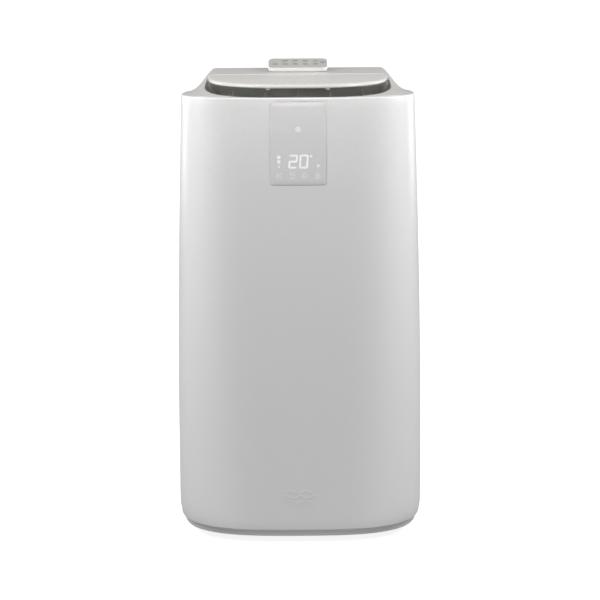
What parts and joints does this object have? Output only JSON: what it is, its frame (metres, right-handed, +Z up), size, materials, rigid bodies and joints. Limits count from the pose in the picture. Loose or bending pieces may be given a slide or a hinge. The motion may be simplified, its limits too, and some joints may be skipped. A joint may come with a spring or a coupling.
{
  "type": "portable air conditioner",
  "caption": "Upright portable air conditioner with rounded white casing, front-tilting top flap, touch panel, docked remote, rear grilles, exhaust collar and recessed casters.",
  "frame": {"origin": "on the floor, in the middle of the casing's footprint", "axes": "+Z up, front with the touch panel towards -Y, exhaust collar towards +Y, +X to the right seen from the front"},
  "size_m": [0.4012, 0.3992, 0.7614],
  "materials": {
    "white_shell": "fine satin white ABS",
    "rear_shell": "satin light grey ABS",
    "top_deck": "satin warm grey ABS",
    "dark_plastic": "matt dark grey plastic",
    "panel_film": "smooth printed film",
    "remote_panel": "satin grey plastic",
    "remote_keys": "soft grey rubber",
    "steel": "plated steel",
    "fins": "pressed aluminium fins",
    "copper": "drawn copper tube",
    "black_paint": "black stoved paint",
    "wheel_rubber": "black rubber tread",
    "black_plastic": "matt black plastic",
    "control_casing": "grey moulded casing",
    "filter_cloth": "woven plastic filter cloth",
    "board": "green laminate"
  },
  "bodies": {
    "casing": {"front_cover": "white_shell", "rear_cover": "rear_shell", "intake_grille": "rear_shell", "condenser_grille": "rear_shell", "exhaust_collar": "rear_shell", "top_collar": "top_deck", "base_tray": "dark_plastic", "handle_left": "dark_plastic", "handle_right": "dark_plastic", "outlet_duct": "dark_plastic", "evaporator_scroll": "dark_plastic", "condenser_scroll": "dark_plastic", "condensate_tray": "dark_plastic", "control_panel": "panel_film", "hinge_pin": "steel", "flap_motor": "steel", "evaporator_motor": "steel", "condenser_motor": "steel", "evaporator_coil": "fins", "condenser_coil": "fins", "suction_pipe": "copper", "compressor": "black_paint", "cord_gland": "black_plastic", "control_box": "control_casing", "display_board": "board"},
    "flap": {"outlet_flap": "top_deck", "flap_pad_left": "white_shell", "flap_pad_right": "white_shell"},
    "filter": {"filter_cassette": "rear_shell", "filter_mesh": "filter_cloth"},
    "remote": {"remote_case": "white_shell", "remote_face": "remote_panel"},
    "louvre_1": {"louvre_1": "dark_plastic"},
    "louvre_2": {"louvre_2": "dark_plastic"},
    "louvre_3": {"louvre_3": "dark_plastic"},
    "louvre_4": {"louvre_4": "dark_plastic"},
    "louvre_5": {"louvre_5": "dark_plastic"},
    "louvre_link": {"louvre_link": "dark_plastic"},
    "battery_tray": {"battery_tray": "black_plastic"},
    "drain_plug": {"drain_plug": "black_plastic"},
    "evaporator_fan": {"evaporator_fan": "dark_plastic"},
    "condenser_fan": {"condenser_fan": "dark_plastic"},
    "key_1": {"key_1": "remote_keys"},
    "key_2": {"key_2": "remote_keys"},
    "key_3": {"key_3": "remote_keys"},
    "key_4": {"key_4": "remote_keys"},
    "key_5": {"key_5": "remote_keys"},
    "key_6": {"key_6": "remote_keys"},
    "key_7": {"key_7": "remote_keys"},
    "key_8": {"key_8": "remote_keys"},
    "key_9": {"key_9": "remote_keys"},
    "key_power": {"key_power": "remote_keys"},
    "caster_fork_1": {"caster_fork_1": "dark_plastic"},
    "caster_wheel_1": {"caster_wheel_1": "wheel_rubber"},
    "caster_fork_2": {"caster_fork_2": "dark_plastic"},
    "caster_wheel_2": {"caster_wheel_2": "wheel_rubber"},
    "caster_fork_3": {"caster_fork_3": "dark_plastic"},
    "caster_wheel_3": {"caster_wheel_3": "wheel_rubber"},
    "caster_fork_4": {"caster_fork_4": "dark_plastic"},
    "caster_wheel_4": {"caster_wheel_4": "wheel_rubber"}
  },
  "joints": [
    {"name": "flap_hinge", "type": "hinge", "parent": "casing", "child": "flap", "pos_m": [0, 0.062, 0.7285], "axis": [-1, 0, 0], "range_deg": [-4.5, 30]},
    {"name": "filter_slide", "type": "slide", "parent": "casing", "child": "filter", "axis": [1, 0, 0], "range_m": [0, 0.32]},
    {"name": "drain_plug_pull", "type": "slide", "parent": "casing", "child": "drain_plug", "axis": [0, 1, 0], "range_m": [0, 0.03]},
    {"name": "remote_lift", "type": "slide", "parent": "casing", "child": "remote", "axis": [0, -0.2924, 0.9563], "range_m": [0, 0.08]},
    {"name": "battery_slide", "type": "slide", "parent": "remote", "child": "battery_tray", "axis": [1, 0, 0], "range_m": [0, 0.045]},
    {"name": "evaporator_fan_spin", "type": "hinge", "parent": "casing", "child": "evaporator_fan", "pos_m": [0, 0, 0.575], "axis": [0, 1, 0], "continuous": true},
    {"name": "condenser_fan_spin", "type": "hinge", "parent": "casing", "child": "condenser_fan", "pos_m": [0, 0, 0.156], "axis": [0, 1, 0], "continuous": true},
    {"name": "louvre_1_pivot", "type": "hinge", "parent": "casing", "child": "louvre_1", "pos_m": [-0.106, -0.03, 0.66], "axis": [0, 0, 1], "range_deg": [-35, 35]},
    {"name": "louvre_2_pivot", "type": "hinge", "parent": "casing", "child": "louvre_2", "pos_m": [-0.053, -0.03, 0.66], "axis": [0, 0, 1], "range_deg": [-35, 35]},
    {"name": "louvre_3_pivot", "type": "hinge", "parent": "casing", "child": "louvre_3", "pos_m": [0, -0.03, 0.66], "axis": [0, 0, 1], "range_deg": [-35, 35]},
    {"name": "louvre_4_pivot", "type": "hinge", "parent": "casing", "child": "louvre_4", "pos_m": [0.053, -0.03, 0.66], "axis": [0, 0, 1], "range_deg": [-35, 35]},
    {"name": "louvre_5_pivot", "type": "hinge", "parent": "casing", "child": "louvre_5", "pos_m": [0.106, -0.03, 0.66], "axis": [0, 0, 1], "range_deg": [-35, 35]},
    {"name": "louvre_link_pivot", "type": "hinge", "parent": "louvre_1", "child": "louvre_link", "pos_m": [-0.106, -0.052, 0.662], "axis": [0, 0, 1], "range_deg": [-35, 35]},
    {"name": "key_1_press", "type": "slide", "parent": "remote", "child": "key_1", "axis": [0, 0.2924, -0.9563], "range_m": [0, 0.0006], "stiffness_N_per_m": 300},
    {"name": "key_2_press", "type": "slide", "parent": "remote", "child": "key_2", "axis": [0, 0.2924, -0.9563], "range_m": [0, 0.0006], "stiffness_N_per_m": 300},
    {"name": "key_3_press", "type": "slide", "parent": "remote", "child": "key_3", "axis": [0, 0.2924, -0.9563], "range_m": [0, 0.0006], "stiffness_N_per_m": 300},
    {"name": "key_4_press", "type": "slide", "parent": "remote", "child": "key_4", "axis": [0, 0.2924, -0.9563], "range_m": [0, 0.0006], "stiffness_N_per_m": 300},
    {"name": "key_5_press", "type": "slide", "parent": "remote", "child": "key_5", "axis": [0, 0.2924, -0.9563], "range_m": [0, 0.0006], "stiffness_N_per_m": 300},
    {"name": "key_6_press", "type": "slide", "parent": "remote", "child": "key_6", "axis": [0, 0.2924, -0.9563], "range_m": [0, 0.0006], "stiffness_N_per_m": 300},
    {"name": "key_7_press", "type": "slide", "parent": "remote", "child": "key_7", "axis": [0, 0.2924, -0.9563], "range_m": [0, 0.0006], "stiffness_N_per_m": 300},
    {"name": "key_8_press", "type": "slide", "parent": "remote", "child": "key_8", "axis": [0, 0.2924, -0.9563], "range_m": [0, 0.0006], "stiffness_N_per_m": 300},
    {"name": "key_9_press", "type": "slide", "parent": "remote", "child": "key_9", "axis": [0, 0.2924, -0.9563], "range_m": [0, 0.0006], "stiffness_N_per_m": 300},
    {"name": "key_power_press", "type": "slide", "parent": "remote", "child": "key_power", "axis": [0, 0.2924, -0.9563], "range_m": [0, 0.0006], "stiffness_N_per_m": 300},
    {"name": "caster_1_swivel", "type": "hinge", "parent": "casing", "child": "caster_fork_1", "pos_m": [-0.133, -0.122, 0.04], "axis": [0, 0, 1], "continuous": true},
    {"name": "caster_1_roll", "type": "hinge", "parent": "caster_fork_1", "child": "caster_wheel_1", "pos_m": [-0.133, -0.113, 0.018], "axis": [1, 0, 0], "continuous": true},
    {"name": "caster_2_swivel", "type": "hinge", "parent": "casing", "child": "caster_fork_2", "pos_m": [0.133, -0.122, 0.04], "axis": [0, 0, 1], "continuous": true},
    {"name": "caster_2_roll", "type": "hinge", "parent": "caster_fork_2", "child": "caster_wheel_2", "pos_m": [0.133, -0.113, 0.018], "axis": [1, 0, 0], "continuous": true},
    {"name": "caster_3_swivel", "type": "hinge", "parent": "casing", "child": "caster_fork_3", "pos_m": [-0.133, 0.122, 0.04], "axis": [0, 0, 1], "continuous": true},
    {"name": "caster_3_roll", "type": "hinge", "parent": "caster_fork_3", "child": "caster_wheel_3", "pos_m": [-0.133, 0.131, 0.018], "axis": [1, 0, 0], "continuous": true},
    {"name": "caster_4_swivel", "type": "hinge", "parent": "casing", "child": "caster_fork_4", "pos_m": [0.133, 0.122, 0.04], "axis": [0, 0, 1], "continuous": true},
    {"name": "caster_4_roll", "type": "hinge", "parent": "caster_fork_4", "child": "caster_wheel_4", "pos_m": [0.133, 0.131, 0.018], "axis": [1, 0, 0], "continuous": true}
  ],
  "couplings": [
    {"joint": "louvre_2_pivot", "follows": "louvre_1_pivot", "ratio": 1},
    {"joint": "louvre_3_pivot", "follows": "louvre_1_pivot", "ratio": 1},
    {"joint": "louvre_4_pivot", "follows": "louvre_1_pivot", "ratio": 1},
    {"joint": "louvre_5_pivot", "follows": "louvre_1_pivot", "ratio": 1},
    {"joint": "louvre_link_pivot", "follows": "louvre_1_pivot", "ratio": -1}
  ]
}
